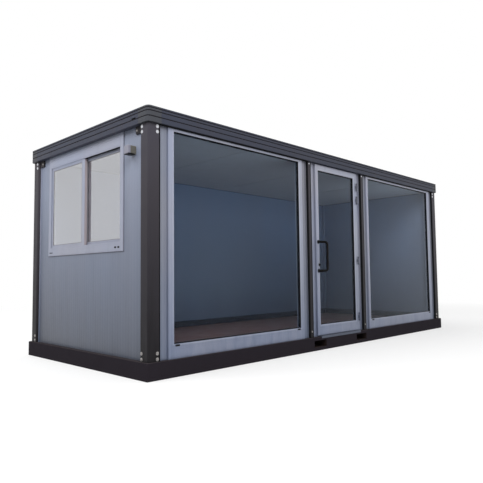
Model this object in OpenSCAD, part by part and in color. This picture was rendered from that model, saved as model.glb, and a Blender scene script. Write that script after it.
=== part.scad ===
// Sales container: a glazed steel-framed cabin on a 20-foot footprint.
// Origin: centre of the footprint, on the ground. +X along the length, the shop front faces -Y.

/* [Overall size] */
// Length over the steel frame
length = 6058; // [4900:1:7400]
// Width over the steel frame
width = 2438; // [2300:1:3000]
// Height over the roof frame
height = 2470; // [2350:1:3000]

/* [Steel frame] */
// Height of the base frame
base_h = 160; // [152:1:200]
// Height of the roof frame
roof_h = 148; // [120:1:180]
// Side of the square corner posts
corner_post = 130; // [105:1:160]
// Distance of the posts behind the outline
post_setback = 25; // [15:1:35]
// Outer edge radius of the corner posts
post_edge_r = 20; // [8:1:24]
// Wall of the corner posts and door posts
post_wall = 5; // [3:0.5:8]
// Width of the two posts beside the door
door_post_w = 60; // [50:1:80]
// Depth of the two posts beside the door
door_post_d = 95; // [80:1:120]
// Thickness of the frame rails
rail_t = 6; // [4:0.5:8]
// Outer edge radius of the base frame corners
base_edge_r = 12; // [6:1:20]
// Outer edge radius of the roof frame corners
roof_edge_r = 40; // [20:1:50]
// Width of the upper flange of the roof rails
roof_flange = 80; // [60:1:100]
// Depth of the long grooves in the roof rails
groove_d = 3; // [1:0.5:4]
// Height of the long grooves in the roof rails
groove_h = 10; // [4:1:12]
// Height of the lower groove over the bottom of the roof rail
groove_1 = 47; // [40:1:60]
// Height of the middle groove over the bottom of the roof rail
groove_2 = 96; // [88:1:104]
// Distance from the top of the roof rail down to the bottom of the top groove
groove_top = 24; // [20:1:28]

/* [Floor] */
// Width of a fork pocket
fork_w = 250; // [200:1:350]
// Height of a fork pocket
fork_h = 80; // [64:1:90]
// Height of the fork pockets over the ground
fork_z = 40; // [30:1:45]
// Spacing of the two fork pockets, centre to centre
fork_spacing = 940; // [780:1:1130]
// Wall of the fork pocket tunnels
fork_wall = 4; // [3:0.5:6]
// Height of the floor joists
joist_h = 90; // [75:1:95]
// Width of the floor joists
joist_w = 50; // [40:1:60]
// Wall of the floor joists
joist_wall = 4; // [3:0.5:6]
// Largest spacing of the floor joists
joist_pitch = 500; // [400:1:620]
// Thickness of the floor boards with their covering
floor_t = 26; // [20:1:32]
// Height of the skirting
skirting_h = 90; // [60:1:120]
// Thickness of the skirting
skirting_t = 12; // [8:1:16]

/* [Walls and roof] */
// Distance of the wall panels behind the outline
panel_setback = 60; // [50:1:70]
// Thickness of the wall panels
panel_t = 60; // [50:1:72]
// Thickness of the ceiling panel
ceiling_t = 60; // [48:1:72]
// Thickness of the roof sheet
sheet_t = 2; // [1.5:0.5:3]
// Height of the ribs in the roof sheet
rib_h = 25; // [20:1:35]
// Largest spacing of the ribs in the roof sheet
rib_pitch = 250; // [200:1:320]

/* [Shop front] */
// Distance of the glazing frames behind the outline
glazing_setback = 35; // [28:1:45]
// Depth of the glazing frames
glazing_d = 70; // [60:1:80]
// Width of the glazing frame members beside the door
glazing_w = 60; // [50:1:85]
// Width of the glazing frame members at the corner posts
glazing_outer_w = 72; // [50:1:85]
// Height of the lower glazing frame member
glazing_sill_h = 134; // [110:1:160]
// Height of the upper glazing frame member
glazing_top_h = 32; // [30:1:60]
// Width of the filler strips between posts and glazing frames
strip_w = 102; // [80:1:125]
// Distance of the filler strips behind the outline
strip_setback = 52; // [48:1:58]
// Depth of the filler strips
strip_d = 50; // [40:1:60]
// Thickness of the insulating glass
glass_t = 24; // [20:1:30]
// Distance of the glass behind the face of its frame
glass_setback = 22; // [16:1:26]

/* [Door] */
// Clear width between the two door posts
door_bay = 1156; // [960:1:1390]
// Width of a door jamb
jamb_w = 131; // [115:1:150]
// Distance of the door jambs behind the outline
jamb_setback = 56; // [50:1:60]
// Depth of the door jambs
jamb_d = 60; // [50:1:70]
// Height of the member over the door
door_head_h = 24; // [20:1:30]
// Height of the threshold
threshold_h = 8; // [6:1:12]
// Height of the threshold's nosing in front of the base frame
nosing_h = 20; // [15:1:30]
// Thickness of the threshold's nosing
nosing_t = 3; // [2:0.5:5]
// Gap that the closed door leaf keeps to jambs, head and threshold
door_gap = 6; // [5:0.5:8]
// Width over which the leaf's outer flange overlaps a jamb
leaf_overlap = 25; // [20:1:30]
// Thickness of the leaf's outer flange
leaf_flange_t = 17; // [12:1:20]
// Depth of the leaf's inner body
leaf_body_d = 42; // [35:1:50]
// Side clearance of the leaf's inner body
leaf_clear = 12; // [10:1:15]
// Width of the leaf's stiles
stile_w = 67; // [62:1:85]
// Height of the leaf's lower rail
leaf_bottom_h = 128; // [105:1:150]
// Height of the leaf's upper rail
leaf_top_h = 72; // [60:1:85]

/* [Door fittings] */
// Diameter of the pull handle
pull_dia = 30; // [25:1:34]
// Distance between the fixings of the pull handle
pull_span = 360; // [300:1:430]
// Height of the middle of the pull handle
pull_z = 1150; // [1000:1:1250]
// Length of the handle's slanting arms, to the middle of the grip
pull_reach = 112; // [90:1:125]
// Slant of the handle's arms, seen from above
pull_slant = 45; // [35:1:60]
// Distance of the handle's arms from the stile's inner edge
pull_inset = 30; // [20:1:40]
// Bend radius of the pull handle
pull_bend_r = 36; // [30:1:40]
// Diameter of the lock cylinder's rose
rose_dia = 32; // [26:1:38]
// Thickness of the lock cylinder's rose
rose_t = 8; // [6:1:10]
// Height of the lock cylinder
lock_z = 1045; // [950:1:1080]
// Height of the inside lever over the lock cylinder
lever_rise = 75; // [65:1:100]
// Diameter of the inside lever
lever_dia = 18; // [14:1:22]
// Length of the inside lever
lever_l = 130; // [100:1:150]
// Distance of the inside lever's axis from the leaf
lever_out = 45; // [35:1:55]
// Height of the door hinges
hinge_h = 110; // [90:1:130]
// Diameter of the hinge barrels
hinge_dia = 20; // [16:1:22]
// Diameter of the hinge pins
hinge_pin_dia = 10; // [8:1:12]
// Running gap between the hinge knuckles
hinge_gap = 1; // [0.5:0.5:2]
// Distance of the hinge pins beside the leaf's edge
hinge_beside = 2; // [0:1:6]
// Distance of the hinge pins in front of the leaf
hinge_before = 15; // [13:1:18]
// Width of the hinge wing on the leaf
hinge_wing_w = 28; // [20:1:40]
// Thickness of the hinge wing on the leaf
hinge_wing_t = 10; // [6:1:12]
// Thickness of the hinge bracket's web
hinge_web = 6; // [5:0.5:7]
// Height of the lowest hinge over the leaf's foot
hinge_foot = 120; // [90:1:200]
// Height of the middle hinge over the leaf's foot
hinge_middle = 880; // [700:1:1100]
// Distance of the highest hinge's underside below the leaf's top
hinge_head = 246; // [180:1:320]
// Spacing of the two upper hinges
hinge_pair = 180; // [150:1:260]
// Radial clearance of the hinge pins
pin_clear = 0.05; // [0.02:0.01:0.1]

/* [Side window] */
// Distance of the window from the front outline
window_from_front = 472; // [390:1:560]
// Width of the window
window_w = 1576; // [1320:1:1640]
// Height of the window's underside over the ground
window_z = 1167; // [980:1:1400]
// Distance of the window frame behind the outline
window_setback = 50; // [44:1:56]
// Width of the window frame's side members
window_side_w = 53; // [44:1:64]
// Height of the window frame's lower member
window_sill_h = 84; // [70:1:100]
// Height of the window frame's upper member
window_head_h = 124; // [100:1:140]
// Depth of a sliding sash
sash_d = 28; // [24:1:30]
// Width of the outer members of a sash
sash_w = 38; // [30:1:50]
// Width of the meeting stiles of the sashes
meeting_w = 64; // [52:1:76]
// Thickness of the sash panes
sash_glass_t = 16; // [12:1:20]

/* [Power inlet] */
// Distance of the inlet box from the front outline
inlet_from_front = 271; // [200:1:300]
// Width of the inlet box
inlet_w = 90; // [75:1:110]
// Height of the inlet box
inlet_h = 88; // [75:1:110]
// Depth of the inlet box
inlet_d = 88; // [70:1:100]
// Height of the inlet box over the ground
inlet_z = 2061; // [1700:1:2100]

/* [Hidden] */
$fn = 48;
back_panels = 5;
joint_gap = 0.4;
over = 1;
steel = "#3c373c";
silver = "#aeb3c0";
panel_grey = "#8a8f98";
glass_blue = [0.35, 0.42, 0.5, 0.5];

post_h = height - base_h - roof_h;
roof_z = base_h + post_h;
groove_zs = [groove_1, groove_2, roof_h - groove_top];
corner_size = post_setback + corner_post;
panel_inner = panel_setback + panel_t;
base_flange = panel_inner;
front_flange = post_setback + door_post_d;
soffit = panel_inner + 5;
floor_under = base_h - floor_t;
bay_w = length / 2 - corner_size - door_bay / 2 - door_post_w;
bay_x = door_bay / 2 + door_post_w;
frame_w = bay_w - 2 * strip_w;
frame_x = bay_x + strip_w;
pane_w = frame_w - glazing_w - glazing_outer_w;
pane_z = base_h + glazing_sill_h;
pane_h = post_h - glazing_sill_h - glazing_top_h;
joist_z = floor_under - joist_h;
joist_l = width - 2 * rail_t;
wall_l = width - 2 * corner_size;
back_panel_w = (length - 2 * corner_size) / back_panels;
rib_n = ceil((length - 2 * rail_t) / rib_pitch);
rib_w = (length - 2 * rail_t) / rib_n;
sheet_z = height - rail_t - rib_h - sheet_t - 8;

leaf_w = door_bay - 2 * jamb_w + 2 * leaf_overlap;
leaf_front = jamb_setback - door_gap - leaf_flange_t;
leaf_z = base_h + threshold_h + door_gap;
leaf_top = roof_z - door_gap - 4;
leaf_h = leaf_top - leaf_z;
body_w = door_bay - 2 * jamb_w - 2 * leaf_clear;
body_top = roof_z - door_head_h - door_gap;
leaf_glass_w = leaf_w - 2 * stile_w;
leaf_glass_z = leaf_z + leaf_bottom_h;
leaf_glass_h = leaf_h - leaf_bottom_h - leaf_top_h;
leaf_back = leaf_front + leaf_flange_t + leaf_body_d;
leaf_side_in = (leaf_w - body_w) / 2;
lock_x = -leaf_w / 2 + (leaf_side_in + stile_w) / 2;
hinge_x = leaf_w / 2 + hinge_beside;
hinge_s = leaf_front - hinge_before;
knuckle_h = (hinge_h - 2 * hinge_gap) / 3;
hinge_zs = [leaf_z + hinge_foot, leaf_z + hinge_middle,
            leaf_top - hinge_head - hinge_pair, leaf_top - hinge_head];

window_h = roof_z - window_z;
sash_h = window_h - window_sill_h - window_head_h;
sash_z = window_z + window_sill_h;
sash_run = window_w - 2 * window_side_w;
sash_l = (sash_run + meeting_w) / 2;
outer_track = window_setback + 8;
inner_track = outer_track + sash_d + 4;
window_d = inner_track + sash_d + 2 - window_setback;

// A rounded square standing on its lower left corner, with true arcs.
module rounded_square(w, r) {
  translate([r, 0]) square([w - 2 * r, w]);
  translate([0, r]) square([w, w - 2 * r]);
  for (x = [r, w - r], y = [r, w - r]) translate([x, y]) circle(r = r);
}

// A square whose corner at the outline is rounded, inset from the outline by a groove depth.
module corner_plan(edge_r, inset = 0) {
  w = corner_size - inset;
  r = edge_r - inset;
  translate([inset, inset]) {
    translate([r, 0]) square([w - r, w]);
    translate([0, r]) square([w, w - r]);
    translate([r, r]) circle(r = r);
  }
}

// Moves a piece drawn on the front's own axes: u from the middle, s behind the outline.
module front(u, s, z) {
  translate([u, -width / 2 + s, z]) children();
}

// Moves a piece drawn on the left end's own axes: s behind the outline, v from the front.
module left_end(s, v, z) {
  translate([-length / 2 + s, -width / 2 + v, z]) children();
}

// Repeats a piece drawn at the front left corner at all four corners.
module four_corners() {
  for (x = [0, 1], y = [0, 1]) mirror([x, 0, 0]) mirror([0, y, 0]) children();
}

// A box through the frame corners, which boards and sheets leave free.
module corner_notches(z, h) {
  four_corners()
    translate([-length / 2 - over, -width / 2 - over, z - over])
      cube([corner_size + over, corner_size + over, h + 2 * over]);
}

// Extrudes a profile, drawn as (depth behind the outline, height), along +X from the middle.
module along_x(l) {
  translate([-l / 2, 0, 0]) rotate([90, 0, 90]) linear_extrude(l) children();
}

// Base rail profile: a channel open to the inside.
module base_profile(flange) {
  difference() {
    square([flange, base_h]);
    translate([rail_t, rail_t]) square([flange, base_h - 2 * rail_t]);
  }
}

// Roof rail profile: a channel with a wide soffit and long grooves in its face.
module roof_profile() {
  difference() {
    union() {
      square([rail_t, roof_h]);
      square([soffit, rail_t]);
      translate([0, roof_h - rail_t]) square([roof_flange, rail_t]);
    }
    for (z = groove_zs) translate([-over, z]) square([groove_d + over, groove_h]);
  }
}

module base_rail_long(flange) {
  color(steel)
    difference() {
      translate([0, -width / 2, 0]) along_x(length - 2 * corner_size) base_profile(flange);
      for (u = [-1, 1])
        translate([u * fork_spacing / 2 - fork_w / 2, -width / 2 - over, fork_z])
          cube([fork_w, rail_t + 2 * over, fork_h]);
    }
}

module base_rail_end() {
  color(steel)
    rotate([0, 0, -90]) translate([0, -length / 2, 0])
      along_x(width - 2 * corner_size) base_profile(base_flange);
}

module base_corners() {
  color(steel)
    four_corners()
      translate([-length / 2, -width / 2, 0]) linear_extrude(base_h) corner_plan(base_edge_r);
}

// Tube joists between the long rails, spread evenly between the fork pockets and the ends.
module floor_joists() {
  clear_x = fork_spacing / 2 + fork_w / 2 + fork_wall;
  run = length / 2 - corner_size - clear_x - joist_w;
  n = ceil(run / joist_pitch);
  places = [for (i = [0:n]) clear_x + joist_w / 2 + 10 + i * (run - 10) / n];
  color(steel)
    for (u = concat([0], places, -places))
      translate([u - joist_w / 2, -joist_l / 2, joist_z])
        difference() {
          cube([joist_w, joist_l, joist_h]);
          translate([joist_wall, -over, joist_wall])
            cube([joist_w - 2 * joist_wall, joist_l + 2 * over, joist_h - 2 * joist_wall]);
        }
}

module fork_pockets() {
  color(steel)
    for (u = [-1, 1])
      translate([u * fork_spacing / 2 - fork_w / 2, 0, fork_z])
        difference() {
          translate([-fork_wall, -joist_l / 2, -fork_wall])
            cube([fork_w + 2 * fork_wall, joist_l, fork_h + 2 * fork_wall]);
          translate([0, -joist_l / 2 - over, 0]) cube([fork_w, joist_l + 2 * over, fork_h]);
        }
}

module floor() {
  color("#6b3d2c")
    difference() {
      translate([-length / 2 + base_flange, -width / 2 + front_flange, floor_under])
        cube([length - 2 * base_flange, width - front_flange - base_flange, floor_t]);
      corner_notches(floor_under, floor_t);
    }
}

module corner_post() {
  color(steel)
    translate([-length / 2 + post_setback, -width / 2 + post_setback, base_h])
      linear_extrude(post_h)
        difference() {
          rounded_square(corner_post, post_edge_r);
          translate([post_wall, post_wall])
            rounded_square(corner_post - 2 * post_wall, post_edge_r - post_wall);
        }
}

module door_post() {
  color(steel)
    front(door_bay / 2, post_setback, base_h)
      difference() {
        cube([door_post_w, door_post_d, post_h]);
        translate([post_wall, post_wall, -over])
          cube([door_post_w - 2 * post_wall, door_post_d - 2 * post_wall, post_h + 2 * over]);
      }
}

module roof_rail_long() {
  color(steel)
    translate([0, -width / 2, roof_z]) along_x(length - 2 * corner_size) roof_profile();
}

module roof_rail_end() {
  color(steel)
    rotate([0, 0, -90]) translate([0, -length / 2, roof_z])
      along_x(width - 2 * corner_size) roof_profile();
}

module roof_corners() {
  color(steel)
    four_corners()
      translate([-length / 2, -width / 2, roof_z])
        difference() {
          linear_extrude(roof_h) corner_plan(roof_edge_r);
          for (z = groove_zs)
            translate([0, 0, z])
              linear_extrude(groove_h)
                difference() {
                  translate([-over, -over]) square(corner_size + 2 * over);
                  corner_plan(roof_edge_r, groove_d);
                }
        }
}

// One period of the ribbed roof sheet's upper line, as (x, height) points.
function rib_points(i) = [
  [i * rib_w + 0.00 * rib_w, 0], [i * rib_w + 0.30 * rib_w, 0],
  [i * rib_w + 0.40 * rib_w, rib_h], [i * rib_w + 0.60 * rib_w, rib_h],
  [i * rib_w + 0.70 * rib_w, 0]
];

module roof_sheet() {
  sheet_l = length - 2 * rail_t;
  line = concat([for (i = [0:rib_n - 1]) each rib_points(i)], [[sheet_l, 0]]);
  n = len(line);
  under = [for (i = [n - 1:-1:0]) [line[i][0], line[i][1] - sheet_t]];
  color("#8f9499")
    difference() {
      translate([-sheet_l / 2, width / 2 - rail_t, sheet_z])
        rotate([90, 0, 0]) linear_extrude(width - 2 * rail_t) polygon(concat(line, under));
      corner_notches(sheet_z - sheet_t, rib_h + sheet_t);
    }
}

module ceiling() {
  color("#d9dadc")
    difference() {
      translate([-length / 2 + rail_t, -width / 2 + rail_t, roof_z + rail_t])
        cube([length - 2 * rail_t, width - 2 * rail_t, ceiling_t]);
      corner_notches(roof_z + rail_t, ceiling_t);
    }
}

module back_wall_panel(i) {
  color(panel_grey)
    translate([-length / 2 + corner_size + (i - 1) * back_panel_w, 0, base_h])
      translate([0, width / 2 - panel_inner, 0])
        cube([back_panel_w - joint_gap, panel_t, post_h]);
}

module right_wall_panel(i) {
  color(panel_grey)
    translate([length / 2 - panel_inner, -wall_l / 2 + (i - 1) * wall_l / 2, base_h])
      cube([panel_t, wall_l / 2 - joint_gap, post_h]);
}

module left_wall_lower_panel() {
  color(panel_grey)
    left_end(panel_setback, corner_size, base_h) cube([panel_t, wall_l, window_z - base_h]);
}

module left_wall_front_panel() {
  color(panel_grey)
    left_end(panel_setback, corner_size, window_z)
      cube([panel_t, window_from_front - corner_size, window_h]);
}

module left_wall_rear_panel() {
  from = window_from_front + window_w;
  color(panel_grey)
    left_end(panel_setback, from, window_z)
      cube([panel_t, width - corner_size - from, window_h]);
}

module skirting() {
  color("#2f2a2a") {
    translate([-length / 2 + corner_size, width / 2 - panel_inner - skirting_t, base_h])
      cube([length - 2 * corner_size, skirting_t, skirting_h]);
    for (x = [0, 1])
      mirror([x, 0, 0])
        translate([-length / 2 + panel_inner, -wall_l / 2, base_h])
          cube([skirting_t, wall_l, skirting_h]);
  }
}

// Four bars round an opening, as (across, depth, up), parted by hairline joints.
module bar_frame(w, d, h, side_a, side_b, bottom, top) {
  cube([side_a, d, h]);
  translate([w - side_b, 0, 0]) cube([side_b, d, h]);
  translate([side_a + joint_gap, 0, 0])
    cube([w - side_a - side_b - 2 * joint_gap, d, bottom]);
  translate([side_a + joint_gap, 0, h - top])
    cube([w - side_a - side_b - 2 * joint_gap, d, top]);
}

// Turns a piece drawn as (across, depth, up) onto the left end, across running to the back.
module on_left_end(s, v, z) {
  left_end(s, v, z) mirror([1, -1, 0]) children();
}

module window_frame() {
  color(silver)
    on_left_end(window_setback, window_from_front, window_z)
      bar_frame(window_w, window_d, window_h,
                window_side_w, window_side_w, window_sill_h, window_head_h);
}

// The rear sash runs in the outer track, and the front one in the inner track.
module window_sashes() {
  front_v = window_from_front + window_side_w;
  rear_v = front_v + sash_run - sash_l;
  color(silver) {
    on_left_end(inner_track, front_v, sash_z)
      bar_frame(sash_l, sash_d, sash_h, sash_w, meeting_w, sash_w, sash_w);
    on_left_end(outer_track, rear_v, sash_z)
      bar_frame(sash_l, sash_d, sash_h, meeting_w, sash_w, sash_w, sash_w);
  }
}

module window_panes() {
  front_v = window_from_front + window_side_w;
  rear_v = front_v + sash_run - sash_l;
  pane = [sash_l - sash_w - meeting_w, sash_glass_t, sash_h - 2 * sash_w];
  inset = (sash_d - sash_glass_t) / 2;
  color(glass_blue) {
    on_left_end(inner_track + inset, front_v + sash_w, sash_z + sash_w) cube(pane);
    on_left_end(outer_track + inset, rear_v + meeting_w, sash_z + sash_w) cube(pane);
  }
}

module power_inlet() {
  color("#7d8078")
    left_end(panel_setback - inlet_d, inlet_from_front, inlet_z)
      cube([inlet_d, inlet_w, inlet_h]);
}

module glazing_frame() {
  color(silver)
    front(frame_x, glazing_setback, base_h)
      bar_frame(frame_w, glazing_d, post_h,
                glazing_w, glazing_outer_w, glazing_sill_h, glazing_top_h);
}

module glazing_panes() {
  color(glass_blue)
    for (x = [0, 1])
      mirror([x, 0, 0])
        front(frame_x + glazing_w, glazing_setback + glass_setback, pane_z)
          cube([pane_w, glass_t, pane_h]);
}

module filler_strips() {
  color("#7f8492")
    for (x = [0, 1], u = [bay_x, bay_x + bay_w - strip_w])
      mirror([x, 0, 0]) front(u, strip_setback, base_h) cube([strip_w, strip_d, post_h]);
}

module door_jambs() {
  color(silver)
    for (x = [0, 1])
      mirror([x, 0, 0])
        front(door_bay / 2 - jamb_w, jamb_setback, base_h) cube([jamb_w, jamb_d, post_h]);
}

module door_head() {
  l = door_bay - 2 * jamb_w;
  color(silver)
    front(-l / 2, jamb_setback, roof_z - door_head_h) cube([l, jamb_d, door_head_h]);
}

// Threshold plate between the jambs, with a nosing over the edge of the base frame.
module door_threshold() {
  l = door_bay - 2 * jamb_w;
  color("#4b5263") {
    front(-l / 2, 0, base_h) cube([l, jamb_setback + jamb_d, threshold_h]);
    front(-l / 2, -nosing_t, base_h - nosing_h) cube([l, nosing_t, nosing_h + threshold_h]);
  }
}

// Door leaf: stiles and rails whose outer flange overlaps the jambs.
module leaf_bar(w, z0, z1, in_l, in_r, in_bottom, in_top) {
  cube([w, leaf_flange_t, z1 - z0]);
  translate([in_l, leaf_flange_t, in_bottom])
    cube([w - in_l - in_r, leaf_body_d, z1 - z0 - in_bottom - in_top]);
}

module door_leaf() {
  top_in = leaf_top - body_top;
  rail_w = leaf_glass_w - 2 * joint_gap;
  color(silver) {
    front(-leaf_w / 2, leaf_front, leaf_z)
      leaf_bar(stile_w, leaf_z, leaf_top, leaf_side_in, 0, 0, top_in);
    front(leaf_w / 2 - stile_w, leaf_front, leaf_z)
      leaf_bar(stile_w, leaf_z, leaf_top, 0, leaf_side_in, 0, top_in);
    front(-rail_w / 2, leaf_front, leaf_z)
      leaf_bar(rail_w, leaf_z, leaf_glass_z, 0, 0, 0, 0);
    front(-rail_w / 2, leaf_front, leaf_glass_z + leaf_glass_h)
      leaf_bar(rail_w, leaf_glass_z + leaf_glass_h, leaf_top, 0, 0, 0, top_in);
  }
}

module door_glass() {
  color(glass_blue)
    front(-leaf_glass_w / 2, leaf_front + glass_setback, leaf_glass_z)
      cube([leaf_glass_w, glass_t, leaf_glass_h]);
}

// Cranked bow handle: slanting arms from the stile carry an upright grip over the glass.
module door_pull_handle() {
  run = pull_reach - pull_bend_r;
  color("#1c1c1f")
    front(-leaf_w / 2 + stile_w - pull_inset, leaf_front, pull_z)
      difference() {
        rotate([0, 0, -pull_slant]) {
          for (m = [0, 1])
            mirror([0, 0, m]) {
              translate([-pull_dia, 0, -pull_span / 2])
                rotate([0, 90, 0]) cylinder(d = pull_dia, h = run + pull_dia);
              translate([run, 0, pull_bend_r - pull_span / 2])
                rotate([90, 0, 0])
                  rotate([0, 0, -90])
                    rotate_extrude(angle = 90) translate([pull_bend_r, 0]) circle(d = pull_dia);
            }
          translate([pull_reach, 0, pull_bend_r - pull_span / 2])
            cylinder(d = pull_dia, h = pull_span - 2 * pull_bend_r);
        }
        translate([-pull_reach, 0, -pull_span]) cube([2 * pull_reach, pull_dia * 2, 2 * pull_span]);
      }
}

// Lock cylinder roses on both faces, and a lever on the inside.
module door_lock() {
  z_lever = lock_z + lever_rise;
  color("#b9bcc2")
    front(lock_x, 0, 0) {
      for (s = [leaf_front - rose_t, leaf_back])
        translate([0, s, lock_z]) rotate([-90, 0, 0]) cylinder(d = rose_dia, h = rose_t);
      translate([0, leaf_back, z_lever]) rotate([-90, 0, 0]) cylinder(d = rose_dia, h = rose_t);
      translate([0, leaf_back, z_lever])
        rotate([-90, 0, 0]) cylinder(d = lever_dia, h = lever_out);
      translate([-lever_dia / 2, leaf_back + lever_out, z_lever])
        rotate([0, 90, 0]) cylinder(d = lever_dia, h = lever_l);
    }
}

module door_hinge_leaves() {
  color(silver)
    for (z = hinge_zs)
      front(hinge_x, hinge_s, z)
        difference() {
          translate([0, 0, knuckle_h + hinge_gap]) {
            cylinder(d = hinge_dia, h = knuckle_h);
            translate([-hinge_wing_w, hinge_before - hinge_wing_t, 0])
              cube([hinge_wing_w, hinge_wing_t, knuckle_h]);
          }
          cylinder(d = hinge_pin_dia + 2 * pin_clear, h = hinge_h);
        }
}

module door_hinge_brackets() {
  color(silver)
    for (z = hinge_zs)
      front(hinge_x, hinge_s, z) {
        for (k = [0, 2 * (knuckle_h + hinge_gap)])
          translate([0, 0, k]) {
            cylinder(d = hinge_dia, h = knuckle_h);
            translate([hinge_dia / 2 - hinge_web, 0, 0])
              cube([hinge_web, jamb_setback - hinge_s, knuckle_h]);
          }
        cylinder(d = hinge_pin_dia, h = hinge_h);
      }
}

base_rail_long(front_flange);  // base_rail_front
mirror([0, 1, 0]) base_rail_long(base_flange);  // base_rail_back
base_rail_end();  // base_rail_left
mirror([1, 0, 0]) base_rail_end();  // base_rail_right
base_corners();
floor_joists();
fork_pockets();
floor();
corner_post();  // corner_post_front_left
mirror([1, 0, 0]) corner_post();  // corner_post_front_right
mirror([0, 1, 0]) corner_post();  // corner_post_back_left
rotate([0, 0, 180]) corner_post();  // corner_post_back_right
mirror([1, 0, 0]) door_post();  // door_post_left
door_post();  // door_post_right
roof_rail_long();  // roof_rail_front
mirror([0, 1, 0]) roof_rail_long();  // roof_rail_back
roof_rail_end();  // roof_rail_left
mirror([1, 0, 0]) roof_rail_end();  // roof_rail_right
roof_corners();
roof_sheet();
ceiling();
back_wall_panel(1);  // back_wall_panel_1
back_wall_panel(2);  // back_wall_panel_2
back_wall_panel(3);  // back_wall_panel_3
back_wall_panel(4);  // back_wall_panel_4
back_wall_panel(5);  // back_wall_panel_5
right_wall_panel(1);  // right_wall_panel_1
right_wall_panel(2);  // right_wall_panel_2
left_wall_lower_panel();
left_wall_front_panel();
left_wall_rear_panel();
skirting();
window_frame();
window_sashes();
window_panes();
power_inlet();
mirror([1, 0, 0]) glazing_frame();  // glazing_frame_left
glazing_frame();  // glazing_frame_right
glazing_panes();
filler_strips();
door_jambs();
door_head();
door_threshold();
door_leaf();
door_glass();
door_pull_handle();
door_lock();
door_hinge_leaves();
door_hinge_brackets();
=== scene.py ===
import math

import bmesh
import bpy
from mathutils import Matrix, Vector


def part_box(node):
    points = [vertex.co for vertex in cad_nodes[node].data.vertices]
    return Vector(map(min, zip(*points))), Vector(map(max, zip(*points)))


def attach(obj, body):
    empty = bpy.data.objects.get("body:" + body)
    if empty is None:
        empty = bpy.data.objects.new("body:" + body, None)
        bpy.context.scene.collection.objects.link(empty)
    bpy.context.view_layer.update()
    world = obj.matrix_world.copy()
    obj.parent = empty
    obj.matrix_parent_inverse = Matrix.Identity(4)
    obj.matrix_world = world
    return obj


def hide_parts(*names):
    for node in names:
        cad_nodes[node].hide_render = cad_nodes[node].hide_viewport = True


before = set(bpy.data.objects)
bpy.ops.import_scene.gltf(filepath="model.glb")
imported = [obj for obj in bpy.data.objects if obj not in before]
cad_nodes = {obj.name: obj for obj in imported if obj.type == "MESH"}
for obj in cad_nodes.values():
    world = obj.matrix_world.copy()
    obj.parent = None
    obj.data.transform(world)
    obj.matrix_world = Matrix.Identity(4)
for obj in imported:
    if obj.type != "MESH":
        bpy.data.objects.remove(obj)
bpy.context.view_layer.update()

# ------ places
MM = 0.001
OUT_LOW, OUT_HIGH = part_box("base_corners")
LEFT, FRONT = OUT_LOW.x, OUT_LOW.y
RIGHT, BACK = OUT_HIGH.x, OUT_HIGH.y
BASE_TOP = OUT_HIGH.z
ROOF_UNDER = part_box("roof_corners")[0].z
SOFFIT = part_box("roof_rail_front")[1].y - FRONT
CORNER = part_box("corner_post_front_left")[1].x - LEFT
POST_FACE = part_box("corner_post_front_left")[0].y - FRONT
DOOR_POSTS = ("door_post_left", "door_post_right")

# A wall's own axes: across, depth behind the outline, up.
ON_FRONT = Matrix(((1, 0, 0, 0), (0, 1, 0, FRONT), (0, 0, 1, 0), (0, 0, 0, 1)))
ON_BACK = Matrix(((1, 0, 0, 0), (0, -1, 0, BACK), (0, 0, 1, 0), (0, 0, 0, 1)))
ON_LEFT = Matrix(((0, 1, 0, LEFT), (1, 0, 0, 0), (0, 0, 1, 0), (0, 0, 0, 1)))
ON_RIGHT = Matrix(((0, -1, 0, RIGHT), (1, 0, 0, 0), (0, 0, 1, 0), (0, 0, 0, 1)))
WALLS = {"front": (ON_FRONT, LEFT, RIGHT), "back": (ON_BACK, LEFT, RIGHT),
         "left": (ON_LEFT, FRONT, BACK), "right": (ON_RIGHT, FRONT, BACK)}


def span(node, place=ON_FRONT):
    """A CAD node's lowest and highest corner on a wall's own axes."""
    corners = [place.inverted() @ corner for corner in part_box(node)]
    return Vector(map(min, *corners)), Vector(map(max, *corners))


WALL_FACE = span("left_wall_lower_panel", ON_LEFT)[0].y


# ------ materials
def linear(color):
    """A colour as it is seen, three values from 0 to 255, as Blender's linear colour; four values stay."""
    if len(color) == 4:
        return color
    shares = [value / 255 for value in color]
    return [v / 12.92 if v <= 0.04045 else ((v + 0.055) / 1.055) ** 2.4 for v in shares] + [1]


class Nodes:
    """Makes, sets and links the nodes of one shader tree."""

    def __init__(self, tree):
        self.tree = tree

    def feed(self, socket, value):
        """Links a socket, or sets it where the value is fixed."""
        if isinstance(value, bpy.types.NodeSocket):
            self.tree.links.new(value, socket)
        else:
            socket.default_value = value

    def node(self, kind, inputs=(), **settings):
        made = self.tree.nodes.new(kind)
        for name, value in settings.items():
            setattr(made, name, value)
        for key, value in dict(inputs).items():
            self.feed(made.inputs[key], value)
        return made

    def math(self, operation, first, second):
        return self.node("ShaderNodeMath", {0: first, 1: second}, operation=operation).outputs[0]

    def between(self, value, low, high, to_low=0.0, to_high=1.0):
        """Maps low..high to to_low..to_high, held at the ends."""
        inputs = {0: value, 1: low, 2: high, 3: to_low, 4: to_high}
        return self.node("ShaderNodeMapRange", inputs).outputs[0]

    def seen(self):
        """1 for rays from the camera, off a gloss or through glass, 0 for the light on the object."""
        ray = self.node("ShaderNodeLightPath").outputs
        seen = self.math("MAXIMUM", ray["Is Camera Ray"], ray["Is Glossy Ray"])
        return self.math("MAXIMUM", seen, ray["Is Transmission Ray"])


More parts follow.
